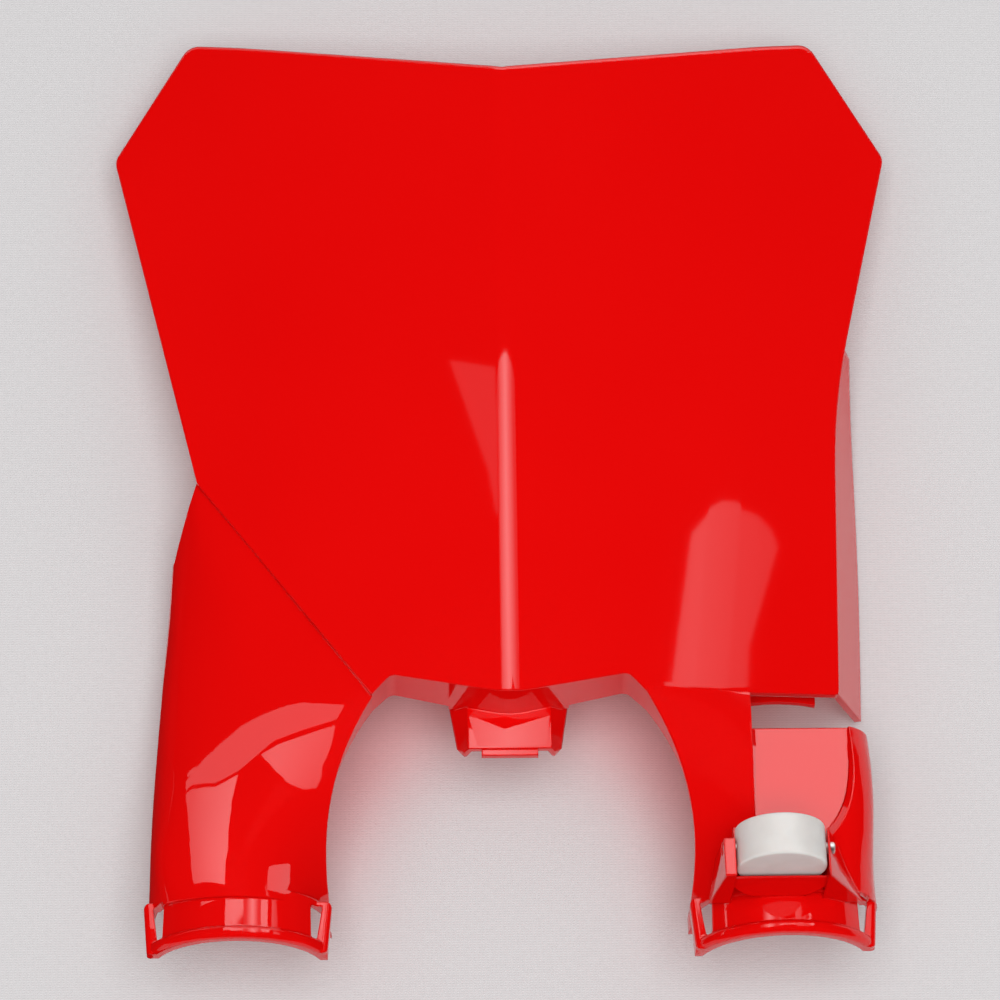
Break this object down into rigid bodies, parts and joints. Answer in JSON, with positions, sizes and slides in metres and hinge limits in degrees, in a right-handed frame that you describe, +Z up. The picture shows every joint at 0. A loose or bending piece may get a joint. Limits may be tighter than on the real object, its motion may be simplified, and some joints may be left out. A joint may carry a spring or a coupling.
{
  "type": "racing number board",
  "caption": "Moulded racing number board with a ridged face, half-round fork saddles with strap slots, and a hose channel holding a white guide drum on a cross pin.",
  "frame": {"origin": "midway between the two fork tube axes, at half the height of the strap bands", "axes": "+Z up along the fork tubes, -Y out of the board's face, +X to the side with the hose channel"},
  "size_m": [0.2804, 0.1064, 0.3228],
  "materials": {
    "red_plastic": "moulded gloss",
    "white_nylon": "moulded satin",
    "pin_steel": "plain"
  },
  "bodies": {
    "board": {"number_board": "red_plastic", "guide_pin": "pin_steel"},
    "guide": {"hose_guide": "white_nylon"}
  },
  "joints": [
    {"name": "guide_rock", "type": "hinge", "parent": "board", "child": "guide", "pos_m": [0.0902, -0.0485, 0.0166], "axis": [1, 0, 0], "range_deg": [-5, 5]}
  ]
}
